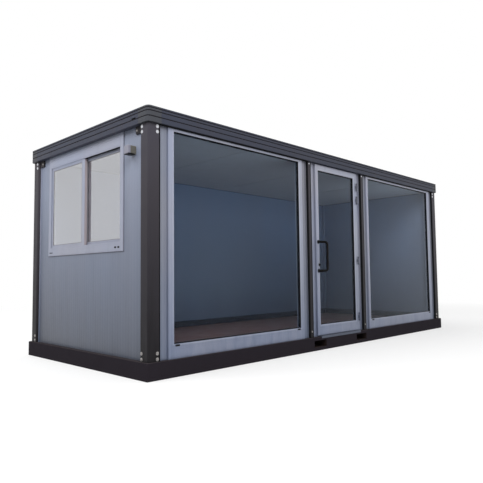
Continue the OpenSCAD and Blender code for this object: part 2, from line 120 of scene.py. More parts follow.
class Look(Nodes):
    """A node material on one Principled shader, built up in layers."""

    def __init__(self, name, color, roughness=0.5, **fixed):
        self.material = bpy.data.materials.new(name)
        self.material.use_nodes = True
        super().__init__(self.material.node_tree)
        self.tree.nodes.clear()
        self.shader = self.node("ShaderNodeBsdfPrincipled")
        self.output = self.node("ShaderNodeOutputMaterial")
        self.color, self.roughness, self.normal = linear(color), roughness, None
        for socket, value in fixed.items():
            self.shader.inputs[socket.replace("_", " ").title().replace("Ior", "IOR")].default_value = value
        self.place = self.node("ShaderNodeTexCoord").outputs["Object"]

    def noise(self, scale, detail=3.0, stretch=(1, 1, 1), rough=0.5):
        """Noise of `scale` patches a metre, from 0 to 1; stretch thins it out along an axis."""
        where = self.node("ShaderNodeMapping", {"Vector": self.place, "Scale": stretch}).outputs[0]
        inputs = {"Vector": where, "Scale": scale, "Detail": detail, "Roughness": rough}
        return self.node("ShaderNodeTexNoise", inputs).outputs["Fac"]

    def height(self, low, high):
        """1 at height low, 0 at height high."""
        up = self.node("ShaderNodeSeparateXYZ", {0: self.place}).outputs[2]
        return self.between(up, low, high, 1.0, 0.0)

    def facing_up(self):
        """1 on level tops, 0 on upright faces."""
        normal = self.node("ShaderNodeNewGeometry").outputs["Normal"]
        up = self.node("ShaderNodeSeparateXYZ", {0: normal}).outputs[2]
        return self.between(up, 0.3, 0.95)

    def edges(self, radius):
        """1 along worn outer edges, from the turn of the surface within radius."""
        soft = self.node("ShaderNodeBevel", {"Radius": radius}, samples=4).outputs[0]
        normal = self.node("ShaderNodeNewGeometry").outputs["True Normal"]
        dot = self.node("ShaderNodeVectorMath", {0: soft, 1: normal}, operation="DOT_PRODUCT")
        return self.between(dot.outputs["Value"], 0.99, 0.9)

    def tint(self, color, share, *others):
        """Blends in a colour by a share, or by the product of several."""
        for other in others:
            share = self.math("MULTIPLY", share, other)
        mix = self.node("ShaderNodeMix", {0: share, 6: self.color, 7: linear(color)}, data_type="RGBA")
        self.color = mix.outputs[2]

    def stain(self, color, value, low, high, most):
        """Blends in a colour where value goes from low to high, up to the share most."""
        self.tint(color, self.between(value, low, high, 0.0, most))

    def polish(self, value, low, high):
        """Roughness from low to high as value goes from 0 to 1."""
        self.roughness = self.between(value, 0.0, 1.0, low, high)

    def relief(self, value, height, strength=1.0):
        """Adds bumps of a real height in mm."""
        inputs = {"Height": value, "Distance": height * MM, "Strength": strength}
        if self.normal is not None:
            inputs["Normal"] = self.normal
        self.normal = self.node("ShaderNodeBump", inputs).outputs[0]

    def done(self, light_through=None):
        """Links the layers up. light_through is the share of each colour that lamps send through."""
        self.feed(self.shader.inputs["Base Color"], self.color)
        self.feed(self.shader.inputs["Roughness"], self.roughness)
        if self.normal is not None:
            self.feed(self.shader.inputs["Normal"], self.normal)
        surface = self.shader.outputs[0]
        if light_through is not None:
            clear = self.node("ShaderNodeBsdfTransparent", {"Color": light_through}).outputs[0]
            shadow = self.node("ShaderNodeLightPath").outputs["Is Shadow Ray"]
            surface = self.node("ShaderNodeMixShader", {0: shadow, 1: surface, 2: clear}).outputs[0]
        self.feed(self.output.inputs["Surface"], surface)
        return self.material


DUST = (120, 112, 106)


def frame_paint(name, color, mottle=(64, 58, 58), low_shade=(13, 11, 12), gloss=0.12, matt=0.0, dust=1.0):
    """Satin paint on structural steel: orange peel, rain marks, dust, painted shade that darkens it towards
    the bottom, thin paint on edges.
    """
    look = Look(name, color, specular_ior_level=gloss)
    look.stain(mottle, look.noise(0.8, 4), 0.35, 0.7, 0.5)
    streak = look.noise(14, 4, (1, 1, 0.1), 0.6)
    look.stain((72, 68, 72), streak, 0.5, 0.8, 0.3 * dust)
    # Painted shade: blends the paint towards a dark colour from 2 m down to the foot, in streaks.
    look.tint(low_shade, look.height(0.1, 2.0), look.between(streak, 0.2, 0.8, 0.75, 0.98))
    speckle = look.noise(160, 4, rough=0.7)
    look.tint(DUST, look.between(speckle, 0.45, 0.75), look.height(0.0, 0.3), 0.16 * dust)
    look.tint(DUST, look.facing_up(), look.between(speckle, 0.2, 0.8, 0.15 * dust, 0.4 * dust))
    worn = look.between(speckle, 0.4, 0.7, 0.05 * dust, 0.35 * dust)
    look.tint((104, 98, 98), look.edges(3 * MM), worn)
    look.polish(look.noise(9, 4), 0.34 + matt, 0.55 + matt)
    look.relief(look.noise(330, 2), 0.1)
    look.relief(look.noise(12, 2), 0.3)
    return look.done()


def coated_aluminium(name, color, warm):
    """Silver powder coating: fine metallic grain, faint handling marks, painted shade that makes it darker
    and bluer near the ground.
    """
    look = Look(name, color, metallic=0.3, specular_ior_level=0.5)
    look.stain(warm, look.noise(0.9, 3), 0.35, 0.7, 0.6)
    look.stain((205, 210, 222), look.noise(2600, 1), 0.5, 0.8, 0.16)
    smear = look.noise(14, 5, (1, 1, 0.2), 0.65)
    look.stain((104, 106, 112), smear, 0.56, 0.8, 0.2)
    # Painted shade: darker and bluer towards the ground.
    look.tint((84, 100, 130), look.height(0.15, 1.5), look.between(smear, 0.3, 0.8, 0.45, 0.7))
    look.polish(smear, 0.26, 0.46)
    look.relief(look.noise(520, 2), 0.06)
    return look.done()


def coated_sheet():
    """Satin coated steel skins of the sandwich panels: faint roll bands, rain streaks, a slight wave, and
    painted shade darker towards the bottom.
    """
    look = Look("coated_sheet", (141, 154, 180), specular_ior_level=0.4)
    look.stain((144, 142, 150), look.noise(0.55, 3), 0.3, 0.7, 0.5)
    look.stain((146, 152, 170), look.noise(5.5, 2, (1, 1, 0.02)), 0.42, 0.62, 0.2)
    streak = look.noise(9, 5, (1, 1, 0.12), 0.6)
    look.stain((100, 100, 106), streak, 0.55, 0.85, 0.2)
    # Painted shade: the skins darken strongly towards the bottom, in streaks.
    look.tint((66, 70, 80), look.height(0.1, 1.9), look.between(streak, 0.3, 0.8, 0.84, 0.92))
    look.polish(look.noise(22, 4), 0.3, 0.48)
    look.relief(look.noise(1.7, 1, (1, 1, 0.5)), 4.0, 0.5)
    look.relief(look.noise(700, 2), 0.05)
    return look.done()


def glass(name, color, light, ior, tint):
    """A float glass sheet, faintly wavy; lamps shine through it."""
    look = Look(name, color, 0.0, transmission_weight=1.0, ior=ior, specular_tint=tint)
    look.relief(look.noise(1.3, 1), 0.2, 0.05)
    return look.done(light_through=light)


def rubber():
    """Black extruded rubber, dulled in patches."""
    look = Look("black_rubber", (14, 14, 17), specular_ior_level=0.2)
    look.stain((30, 30, 32), look.noise(40, 4), 0.4, 0.8, 0.4)
    look.polish(look.noise(60, 3), 0.5, 0.75)
    look.relief(look.noise(900, 2), 0.08)
    return look.done()


def bare_metal(name, color, rough, blotch, stretch=(1, 1, 1)):
    """Zinc, aluminium or stainless steel, with blotches or a brushed grain."""
    look = Look(name, color, metallic=1.0)
    patches = look.noise(120, 4, stretch, 0.6)
    look.stain(blotch, patches, 0.4, 0.75, 0.6)
    look.polish(patches, rough * 0.75, rough * 1.5)
    look.relief(look.noise(900, 2, stretch), 0.04)
    return look.done()


def galvanised():
    """Hot-dip galvanised roof sheet: spangle, rain streaks along the ribs, dust."""
    look = Look("galvanised_sheet", (138, 141, 145), metallic=0.75)
    spangle = look.node("ShaderNodeTexVoronoi", {"Vector": look.place, "Scale": 90.0}).outputs["Color"]
    flake = look.node("ShaderNodeSeparateColor", {0: spangle}).outputs[0]
    look.stain((164, 167, 170), flake, 0.2, 0.9, 0.45)
    look.stain((108, 104, 98), look.noise(7, 6, (1, 0.15, 1), 0.65), 0.45, 0.75, 0.55)
    look.polish(flake, 0.34, 0.55)
    look.relief(flake, 0.05)
    look.relief(look.noise(30, 3), 0.3)
    return look.done()


def vinyl_floor():
    """Reddish-brown sheet vinyl with a fine speckle and scuffs."""
    look = Look("vinyl_floor", (116, 82, 70), specular_ior_level=0.4)
    look.stain((140, 106, 92), look.noise(260, 3), 0.45, 0.7, 0.5)
    look.stain((74, 50, 44), look.noise(410, 2), 0.55, 0.7, 0.6)
    look.stain((128, 110, 98), look.noise(3, 6, rough=0.6), 0.45, 0.8, 0.3)
    look.polish(look.noise(5, 6), 0.26, 0.5)
    look.relief(look.noise(300, 2), 0.1)
    return look.done()


def matt_plastic(name, color, mottle, rough, grain, gloss=0.4):
    """Moulded or laminated plastic with a fine grain."""
    look = Look(name, color, specular_ior_level=gloss)
    look.stain(mottle, look.noise(6, 4), 0.35, 0.75, 0.5)
    look.polish(look.noise(35, 3), rough * 0.85, rough * 1.15)
    look.relief(look.noise(grain, 2), 0.1)
    return look.done()


def primed_steel():
    """Dark primer on the hidden steel under the floor, with weld smoke and dust."""
    look = Look("primed_steel", (40, 32, 31), specular_ior_level=0.2)
    look.stain((58, 48, 44), look.noise(4, 6, rough=0.65), 0.4, 0.75, 0.6)
    look.stain((28, 24, 24), look.noise(60, 4), 0.55, 0.8, 0.4)
    look.polish(look.noise(25, 3), 0.5, 0.75)
    look.relief(look.noise(240, 3), 0.15)
    return look.done()


STEEL = frame_paint("frame_paint", (72, 70, 78))
ROOF_STEEL = frame_paint("roof_paint", (65, 69, 83), mottle=(68, 69, 80))
# Painted highlight: a lighter copy of the frame paint on the roof corners, for the light their rounded
# corners catch.
LIT_CORNER_STEEL = frame_paint("corner_paint_painted_highlight", (76, 78, 84), mottle=(75, 75, 79))
# Painted shade: a darker, duller copy of the frame paint for the base, against the light the pale floor
# throws up on it.
SHADED_BASE_STEEL = frame_paint("base_paint_painted_shade", (50, 46, 54), mottle=(52, 47, 52), low_shade=(44, 40, 46),
                         gloss=0.02, matt=0.25, dust=0.4)
# Painted shade: a near-black copy of the frame paint on the angles under the roof frame, for the shade
# there.
SHADED_BRACKET_STEEL = frame_paint("bracket_paint_painted_shade", (30, 28, 34), gloss=0.2)
SILVER = coated_aluminium("silver_coating", (158, 165, 187), (174, 172, 180))
# Painted highlight: a lighter copy of the silver coating on the glazing beads, for the bright line along the
# glass.
LIT_BEAD_COAT = coated_aluminium("bead_coating_painted_highlight", (172, 178, 198), (184, 183, 190))
FILLER = coated_aluminium("filler_coating", (134, 139, 155), (146, 144, 150))
HINGE = coated_aluminium("hinge_coating", (116, 119, 132), (98, 98, 106))
PANEL = coated_sheet()
SOLAR_GLASS = glass("solar_glass", (0.82, 0.9, 1, 1), (1, 1, 1, 1), 1.14, (0.25, 0.52, 1, 1))
WINDOW_GLASS = glass("window_glass", (0.82, 0.84, 0.88, 1), (0.85, 0.88, 0.9, 1), 3.4, (0.97, 0.97, 1, 1))
CLEAR_GLASS = glass("clear_glass", (0.95, 0.97, 0.96, 1), (0.97, 0.98, 0.98, 1), 1.04, (1, 1, 1, 1))
RUBBER = rubber()
# Painted shade: near-black strips that fill the roof frame's grooves.
GROOVE_SHADE = matt_plastic("groove_shade_strip", (30, 29, 34), (42, 40, 44), 0.7, 500, 0.1)
BRUSH = matt_plastic("brush_seal", (178, 168, 173), (158, 148, 153), 0.8, 1500, 0.1)
# Painted light: a pale grey for the window's glass seals, lighter than rubber, against the shade in the sash
# recess.
LIT_GREY_RUBBER = matt_plastic("grey_rubber_painted_light", (150, 148, 156), (134, 131, 138), 0.7, 700, 0.1)
SEALANT = matt_plastic("grey_sealant", (104, 106, 118), (116, 117, 126), 0.6, 300)
ZINC = bare_metal("zinc_plating", (226, 228, 234), 0.3, (190, 190, 190))
DULL_ZINC = bare_metal("weathered_zinc", (176, 173, 172), 0.4, (122, 116, 112))
SPACER = bare_metal("spacer_aluminium", (60, 62, 66), 0.45, (48, 50, 54))
STAINLESS = bare_metal("brushed_steel", (186, 187, 192), 0.28, (156, 156, 163), (0.1, 1, 1))
SILL = bare_metal("anodised_sill", (92, 98, 112), 0.4, (70, 74, 86), (0.1, 1, 1))
ROOFING = galvanised()
VINYL = vinyl_floor()
CEILING = matt_plastic("ceiling_board", (205, 205, 208), (194, 193, 192), 0.6, 220)
SKIRTING = matt_plastic("skirting_vinyl", (38, 34, 36), (50, 45, 46), 0.5, 260)
# Painted light and shade on one grey plastic: the inlet's body is a darker olive copy, its lid a pale copy.
INLET_BODY_PAINTED_SHADE = matt_plastic("inlet_plastic", (104, 102, 94), (116, 113, 106), 0.45, 600)
INLET_LID_PAINTED_LIGHT = matt_plastic("inlet_lid_plastic_painted_light", (150, 150, 164), (140, 141, 154), 0.45, 600)
BLACK = matt_plastic("black_handle", (9, 9, 12), (14, 14, 17), 0.4, 500, 0.12)
PRIMER = primed_steel()


# ------ shapes
JOINT = 0.4 * MM


def add(name, data):
    """A new object in the scene."""
    made = bpy.data.objects.new(name, data)
    bpy.context.scene.collection.objects.link(made)
    return made


def in_mm(*points):
    return [(a * MM, b * MM) for a, b in points]


def cut_corners(left, foot, right, head, cut):
    """Outline (across, up) of a rectangle with its corners cut off."""
    return [(left + cut, foot), (right - cut, foot), (right, foot + cut), (right, head - cut),
            (right - cut, head), (left + cut, head), (left, head - cut), (left, foot + cut)]


def banded(width, depth, grooves=()):
    """Section of a bar as (across, depth): a flat face with long grooves (middle, width, depth) in mm."""
    outline = [(0, 0)]
    for middle, wide, deep in grooves:
        side = min(deep * 0.35, wide / 4)
        outline += [(middle - wide / 2, 0), (middle - wide / 2 + side, deep),
                    (middle + wide / 2 - side, deep), (middle + wide / 2, 0)]
    return in_mm(*outline) + [(width, 0), (width, depth), (0, depth)]


class Shape:
    """Faces collected on a wall's own axes (across, depth, up) or in the frame, to become one piece."""

    def __init__(self, place=Matrix()):
        self.place = place
        self.mesh = bmesh.new()

    def skin(self, rings, closed=False):
        """Joins rings of points into a solid with end faces, or into a closed loop."""
        rows = [[self.mesh.verts.new(point) for point in ring] for ring in rings]
        for row, after in zip(rows, rows[1:] + (rows[:1] if closed else [])):
            for i, vertex in enumerate(row):
                j = (i + 1) % len(row)
                self.mesh.faces.new((vertex, row[j], after[j], after[i]))
        if not closed:
            self.mesh.faces.new(rows[0])
            self.mesh.faces.new(rows[-1])

    def block(self, low, high):
        (a, b, c), (d, e, f) = low, high
        self.skin([[(a, b, z), (d, b, z), (d, e, z), (a, e, z)] for z in (c, f)])

    def upright(self, section, across, depth, low, high, turned=1):
        """A bar from height low to high; turned -1 runs its section the other way across."""
        self.skin([[(across + turned * a, depth + b, z) for a, b in section] for z in (low, high)])

    def sides(self, section, left, right, depth, low, high):
        """An upright that runs inwards from left, and its mirror image from right."""
        self.upright(section, left, depth, low, high)
        self.upright(section, right, depth, low, high, -1)

    def level(self, section, up, depth, start, end, turned=1):
        """A bar from start to end across the wall; turned -1 runs its section downwards."""
        self.skin([[(x, depth + b, up + turned * a) for a, b in section] for x in (start, end)])

    def four_bars(self, low, high, left, right, foot, head):
        """Stiles and rails that run inwards from low..high, by their sections; gives the rails' two ends."""
        self.upright(left, low.x, low.y, low.z, high.z)
        self.upright(right, high.x, low.y, low.z, high.z, -1)
        ends = low.x + max(left)[0] + JOINT, high.x - max(right)[0] - JOINT
        self.level(foot, low.z, low.y, *ends)
        self.level(head, high.z, low.y, *ends, -1)
        return ends

    def mitred(self, section, low, high, depth):
        """A mitred frame; its section runs inwards from the rectangle low..high (across, up)."""
        (a, c), (d, f) = low, high
        corners = [(a, c, 1, 1), (d, c, -1, 1), (d, f, -1, -1), (a, f, 1, -1)]
        self.skin([[(x + sx * p, depth + q, z + sz * p) for p, q in section]
                   for x, z, sx, sz in corners], closed=True)

    def turned(self, centre, rings, toward=(0, -1, 0), steps=24):
        """Round rings (radius, height) in mm, stacked from centre along toward; a third value cuts flats."""
        turn = Vector((0, 0, 1)).rotation_difference(Vector(toward)).to_matrix()
        stack = []
        for radius, height, *flats in rings:
            ring = []
            for i in range(steps):
                angle = 2 * math.pi * i / steps
                reach = radius
                if flats:
                    part = 2 * math.pi / flats[0]
                    reach /= math.cos((angle % part) - part / 2)
                spot = Vector((reach * math.cos(angle), reach * math.sin(angle), height))
                ring.append(Vector(centre) + turn @ spot * MM)
            stack.append(ring)
        self.skin(stack)

    def piece(self, name, finish, slot, round_mm=0.8, hides=(), body="container", smooth_to=35):
        """Makes the collected faces one named piece, rounded a little, in place of the nodes it hides."""
        bmesh.ops.transform(self.mesh, matrix=self.place, verts=self.mesh.verts)
        bmesh.ops.recalc_face_normals(self.mesh, faces=self.mesh.faces)
        for face in self.mesh.faces:
            face.smooth = True
        data = bpy.data.meshes.new(name)
        self.mesh.to_mesh(data)
        self.mesh.free()
        data.materials.append(finish)
        piece = add(name, data)
        if round_mm:
            round_edges(piece, round_mm)
        else:
            data.set_sharp_from_angle(angle=math.radians(smooth_to))
        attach(piece, body)
        if hides:
            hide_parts(*hides)


def shapes(place, count):
    return [Shape(place) for _ in range(count)]


def round_edges(piece, width_mm):
    bevel = piece.modifiers.new("edges", "BEVEL")
    bevel.width = width_mm * MM
    bevel.segments = 2
    bevel.angle_limit = math.radians(32)
    bevel.harden_normals = True


def dress(node, finish, round_mm=0.0):
    """Gives a CAD node its finish and, where it has hard edges, a slight rounding."""
    piece = cad_nodes[node]
    for material_slot in piece.material_slots:
        material_slot.material = finish
    if round_mm:
        weld = piece.modifiers.new("weld", "WELD")
        weld.merge_threshold = 0.01 * MM
        flat = piece.modifiers.new("flat", "DECIMATE")
        flat.decimate_type = "DISSOLVE"
        flat.angle_limit = math.radians(1)
        round_edges(piece, round_mm)
        piece.modifiers.new("shade", "WEIGHTED_NORMAL")


# ------ steel frame and panels
def dress_frame():
    """Finishes and edge roundings of the CAD nodes that show themselves."""
    for start, finish, round_mm in [
            ("base_", SHADED_BASE_STEEL, 2), ("roof_rail", ROOF_STEEL, 2), ("roof_corners", LIT_CORNER_STEEL, 2),
            ("corner_post", STEEL, 1.5), ("door_post", STEEL, 1.5), ("floor_joists", PRIMER, 0),
            ("fork_pockets", PRIMER, 0), ("ceiling", CEILING, 0), ("roof_sheet", ROOFING, 0),
            ("skirting", SKIRTING, 3), ("door_head", SILVER, 1), ("door_pull_handle", BLACK, 0),
            ("door_hinge", HINGE, 0.8)]:
        for node in cad_nodes:
            if node.startswith(start):
                dress(node, finish, round_mm)
    dress("floor", VINYL)


def wall_panels():
    """Sandwich panels: folded sheet with shallow upright bands, and a shadow gap where two meet."""
    band, bend, sunk, margin = 46 * MM, 7 * MM, 0.55 * MM, 6 * MM
    hem = in_mm((0, 7), (2.5, 7), (2.5, 0.6), (3.1, 0))
    first_panel = {"back": "back_wall_panel_1", "right": "right_wall_panel_1",
                   "left": "left_wall_lower_panel"}
    for node in sorted(cad_nodes):
        wall = node.split("_")[0]
        if wall not in first_panel or "_wall_" not in node or "panel" not in node:
            continue
        place = WALLS[wall][0]
        low, high = span(node, place)
        first, last = (corner.x for corner in span(first_panel[wall], place))
        pitch = (last - first) / round((last - first) / band)
        start = low.x - first
        start -= pitch * math.floor(start / pitch)
        outline = list(hem)
        at = pitch * 0.75 - start
        wide = high.x - low.x
        while at + pitch < wide:
            if at - pitch / 4 > margin:
                outline += [(at - pitch / 4, 0), (at - pitch / 4 + bend, sunk),
                            (at + pitch / 4 - bend, sunk), (at + pitch / 4, 0)]
            at += pitch
        outline += [(wide - a, b) for a, b in reversed(hem)]
        outline += [(wide, high.y - low.y), (0, high.y - low.y)]
        panel = Shape(place)
        panel.upright(outline, low.x, low.y, low.z, high.z)
        panel.piece(f"{node}_sheet", PANEL, "wall_panel", 0, [node], smooth_to=3)


def bolt(shape, across, depth, up, radius=12):
    """A button head bolt with a hexagon socket on a washer, facing out of the wall. Its radius is in mm."""
    shape.turned((across, depth, up), [
        (1.35 * radius, 0), (1.38 * radius, 1.2), (1.3 * radius, 2.4), (0.98 * radius, 2.4),
        (0.96 * radius, 4.2), (0.84 * radius, 6.6), (0.68 * radius, 8.2), (0.55 * radius, 8.8),
        (0.36 * radius, 8.8, 6), (0.34 * radius, 3.6, 6)])


def post_bolts():
    """Two pairs of bolts on each outer face of the corner posts, and one at each end of a door post."""
    in_from_outline = 125 * MM
    ends = [("top", ZINC, [ROOF_UNDER - 27 * MM, ROOF_UNDER - 76 * MM]),
            ("foot", DULL_ZINC, [BASE_TOP + 73 * MM, BASE_TOP + 22 * MM])]
    for name, (place, low, high) in WALLS.items():
        for end, finish, rows in ends:
            bolts = Shape(place)
            for across in (low + in_from_outline, high - in_from_outline):
                for up in rows:
                    bolt(bolts, across, POST_FACE, up)
            if name == "front":
                for node in DOOR_POSTS:
                    left, right = (corner.x for corner in span(node, place))
                    bolt(bolts, (left + right) / 2, POST_FACE, rows[0], 8)
            bolts.piece(f"post_bolts_{name}_{end}", finish, "bolt_zinc", 0)


# ------ glazing
def glazing(parts, low, high, face, bead, back, pane, edge_in, spacer_in=6, sheet=6, lip=6):
    """Beads, rubber wedges and insulating glass in an opening low..high (across, up), behind a face.

    In mm: the bead's width, the bars' depth, the depths where the pane starts and ends, how far its edge
    lies in from the opening and its spacer in from that edge, a sheet's thickness, and how far the outer
    wedge reaches past the bead.
    """
    beads, seals, outer, inner, spacer = parts
    glass_in, glass_out = pane
    slope, top = bead * 0.42, 0.35 * glass_in
    for section in [
            in_mm((0, 2), (2, 0.6), (bead - slope, 0.6), (bead, top), (bead, glass_in), (0, glass_in)),
            in_mm((0, glass_out), (bead, glass_out), (bead, back - 6), (bead - slope, back - 0.6),
                  (2, back - 0.6), (0, back - 2))]:
        beads.mitred(section, low, high, face)
    for section in [
            in_mm((bead - 0.2, top + 1), (bead + 1.5, top + 2), (bead + 3, glass_in - 4),
                  (bead + lip, glass_in - 1.5), (bead + lip, glass_in), (bead - 0.2, glass_in)),
            in_mm((bead, glass_out), (bead + 7, glass_out), (bead + 3, glass_out + 6.2),
                  (bead, glass_out + 7))]:
        seals.mitred(section, low, high, face)
    edge = Vector((edge_in * MM, edge_in * MM))
    low, high = low + edge, high - edge
    for shape, start in ((outer, glass_in), (inner, glass_out - sheet)):
        front = face + start * MM
        shape.block((low[0], front, low[1]), (high[0], front + sheet * MM, high[1]))
    gap = glass_out - glass_in - 2 * sheet
    start, end = spacer_in, spacer_in + 11
    tube = in_mm((start, 0.1), (end, 0.1), (end, gap - 0.1), (start, gap - 0.1))
    spacer.mitred(tube, low, high, face + (glass_in + sheet) * MM)


def drain_cap(shape, across, depth, up, long, tall):
    """A moulded cap over a drain slot: a low body with a hood. Sizes in mm."""
    a, c = long / 2 * MM, tall / 2 * MM
    plate = cut_corners(-a, -c, a, c, tall * 0.32 * MM)
    rings = [(1.0, 0.5 * MM), (1.0, -2 * MM), (0.86, -4 * MM)]
    shape.skin([[(across + x * k, depth + d, up + z * k) for x, z in plate] for k, d in rings])


def glazed_bays():
    """The two shop windows beside the door: bars, beads, seals, insulating glass and drain caps."""
    pane_low, pane_high = span("glazing_panes")
    panes = cad_nodes["glazing_panes"]
    pane_inner = min(abs((panes.matrix_world @ v.co).x) for v in panes.data.vertices)
    outer_w = pane_low.x - span("glazing_frame_left")[0].x
    inner_w = pane_inner - span("glazing_frame_right")[0].x
    bead_mm, cap_in, cap_below = 21, 107 * MM, 13 * MM
    bead = bead_mm * MM
    outer, inner, spacers, seals, caps = shapes(ON_FRONT, 5)
    for side, left_w, right_w in (("left", outer_w, inner_w), ("right", inner_w, outer_w)):
        node = f"glazing_frame_{side}"
        low, high = span(node)
        face, thick = low.y, high.y - low.y
        opening = (Vector((low.x + left_w - bead, pane_low.z - bead)),
                   Vector((high.x - right_w + bead, pane_high.z + bead)))
        bars, beads = shapes(ON_FRONT, 2)
        stiles = [banded(wide - bead, thick, [(9, 2.4, 1.6), (33, 2, 1.2)]) for wide in (left_w, right_w)]
        sill = banded(opening[0].y - low.z, thick, [(9, 2.4, 1.6), (92, 2, 1.2)])
        bars.four_bars(low, high, *stiles, sill, banded(high.z - opening[1].y, thick))
        pane = [(depth - face) / MM for depth in (pane_low.y, pane_high.y)]
        glazing((beads, seals, outer, inner, spacers), *opening, face, bead_mm, thick / MM, pane, 9)
        bars.piece(f"glazing_bars_{side}", SILVER, "silver_profile", 0.7, [node])
        beads.piece(f"glazing_beads_{side}", LIT_BEAD_COAT, "silver_profile", 0.7)
        for across in (low.x + cap_in, high.x - cap_in):
            drain_cap(caps, across, face, pane_low.z - cap_below, 56, 18)
    outer.piece("shop_glass_outer", SOLAR_GLASS, "solar_glass", 0.5, ["glazing_panes"])
    inner.piece("shop_glass_inner", CLEAR_GLASS, "solar_glass", 0.5)
    spacers.piece("shop_glass_spacers", SPACER, "silver_profile")
    seals.piece("shop_glass_seals", RUBBER, "seal_rubber", 0.4)
    caps.piece("shop_glass_drain_caps", RUBBER, "seal_rubber", 0.6)


# ------ door surround
def filler_strips():
    """Grooved strips between the glazing frames and the posts."""
    strips = Shape(ON_FRONT)
    low, high = span("filler_strips")
    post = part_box("door_post_right")[1].x
    frame_low, frame_high = span("glazing_frame_right")
    section = banded(frame_low.x - post, high.y - low.y, [(4, 3, 2), (36, 3, 2), (70, 3, 2)])
    for across in (post, frame_high.x):
        strips.sides(section, across, -across, low.y, low.z, high.z)
    strips.piece("filler_strip_profiles", FILLER, "filler_profile", 0.6, ["filler_strips"])


def door_jambs():
    """Grooved jambs with the rubber seal that the leaf closes on."""
    low, high = span("door_jambs")
    head_low, head_high = span("door_head")
    inner = head_high.x
    jambs, seal = shapes(ON_FRONT, 2)
    section = banded(high.x - inner, high.y - low.y, [(34, 3, 3), (58, 6, 4), (84, 6, 4), (114, 4, 3)])
    jambs.sides(section, inner, -inner, low.y, low.z, high.z)
    jambs.piece("door_jamb_profiles", SILVER, "silver_profile", 0.6, ["door_jambs"])
    lip = in_mm((6, -4.5), (10, -5.2), (15, -4.5), (16, 0), (5, 0))
    seal.sides(lip, inner, -inner, low.y, BASE_TOP + 12 * MM, head_low.z)
    seal.piece("door_frame_seals", RUBBER, "seal_rubber", 0.3)


def threshold():
    """Ribbed threshold plate with a nosing over the base frame."""
    low, high = span("door_threshold")
    thick, drop, bend = 3 * MM, 20 * MM, 2 * MM
    ribs, first, pitch, deep = 9, 6 * MM, 11 * MM, 1.8 * MM
    section = [(low.y, BASE_TOP - drop), (low.y, high.z - bend), (low.y + bend, high.z)]
    for i in range(ribs):
        at = low.y + first + i * pitch
        section += [(at, high.z), (at + 0.8 * MM, high.z - deep), (at + 4.2 * MM, high.z - deep),
                    (at + 5 * MM, high.z)]
    section += [(high.y, high.z), (high.y, BASE_TOP), (low.y + thick, BASE_TOP),
                (low.y + thick, BASE_TOP - drop)]
    plate = Shape(ON_FRONT)
    plate.skin([[(x, d, z) for d, z in section] for x in (low.x, high.x)])
    plate.piece("door_threshold_plate", SILL, "threshold", 0.4, ["door_threshold"])


def post_seals():
    """Rubber edge strips on both sides of the door posts."""
    seals = Shape(ON_FRONT)
    angle = in_mm((-1.5, -1.5), (10, -1.5), (10, 0.3), (0.3, 0.3), (0.3, 26), (-1.5, 26))
    for node in DOOR_POSTS:
        low, high = span(node)
        seals.sides(angle, low.x, high.x, low.y, BASE_TOP, ROOF_UNDER)
    seals.piece("door_post_seals", RUBBER, "seal_rubber", 0.4)


def head_seals_and_shade_strips():
    """Black strips under the roof frame over the glazing frames, painted shade for its shadowed underside,
    and rubber strips beside the corner posts.
    """
    seals = Shape(ON_FRONT)
    shade_under_head = in_mm((0, 8), (3.5, 8), (3.5, 31.5), (9, 33), (9, 36), (0, 36))
    by_post = in_mm((-2, 1), (0.3, 1), (0.3, 26), (-2, 26))
    for start, end, turned in ((LEFT + CORNER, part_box("door_post_left")[0].x, -1),
                               (RIGHT - CORNER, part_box("door_post_right")[1].x, 1)):
        # Painted shade: the strip under the roof frame darkens its underside.
        seals.level(shade_under_head, ROOF_UNDER, 0, start, end, -1)
        seals.upright(by_post, start, POST_FACE, BASE_TOP, ROOF_UNDER - 4 * MM, turned)
    seals.piece("shop_front_seals_and_shade_strips", RUBBER, "seal_rubber", 0.3)


# ------ door leaf
def door_leaf():
    """The hinged leaf: stiles and rails with an outer flange, beads, seals and insulating glass."""
    low, high = span("door_leaf")
    glass_low, glass_high = span("door_glass")
    face, thick = low.y, high.y - low.y
    bead_mm, flange, body_in = 24, 17 * MM, 37 * MM
    bead = bead_mm * MM
    bar = glass_low.x - low.x - bead
    foot, head = glass_low.z - low.z - bead, high.z - glass_high.z - bead
    bars, beads, seals, outer, inner, spacer = shapes(ON_FRONT, 6)
    stile = banded(bar, flange, [(7, 2.4, 1.6), (36, 3, 2)])
    sill = banded(foot, thick, [(8, 2.4, 1.6), (84, 3, 2)])
    ends = bars.four_bars(low, high, stile, stile, sill, banded(head, flange, [(7, 2.4, 1.6)]))
    # The body behind the flange stops below the door head.
    body_top = span("door_head")[0].z - 6 * MM
    drop = high.z - body_top
    body = [(body_in, flange), (bar, flange), (bar, thick), (body_in, thick)]
    bars.sides(body, low.x, high.x, face, low.z, body_top)
    bars.level([(drop, flange), (head, flange), (head, thick), (drop, thick)], high.z, face, *ends, -1)
    opening = Vector((low.x + bar, low.z + foot)), Vector((high.x - bar, high.z - head))
    pane = [(depth - face) / MM for depth in (glass_low.y, glass_high.y)]
    glazing((beads, seals, outer, inner, spacer), *opening, face, bead_mm, thick / MM, pane, 12)
    bars.piece("door_leaf_profiles", SILVER, "silver_profile", 0.7, ["door_leaf"], body="door")
    beads.piece("door_glass_beads", LIT_BEAD_COAT, "silver_profile", 0.7, body="door")
    seals.piece("door_glass_seals", RUBBER, "seal_rubber", 0.4, body="door")
    outer.piece("door_glass_outer", SOLAR_GLASS, "solar_glass", 0.5, ["door_glass"], body="door")
    inner.piece("door_glass_inner", CLEAR_GLASS, "solar_glass", 0.5, body="door")
    spacer.piece("door_glass_spacer", SPACER, "silver_profile", body="door")


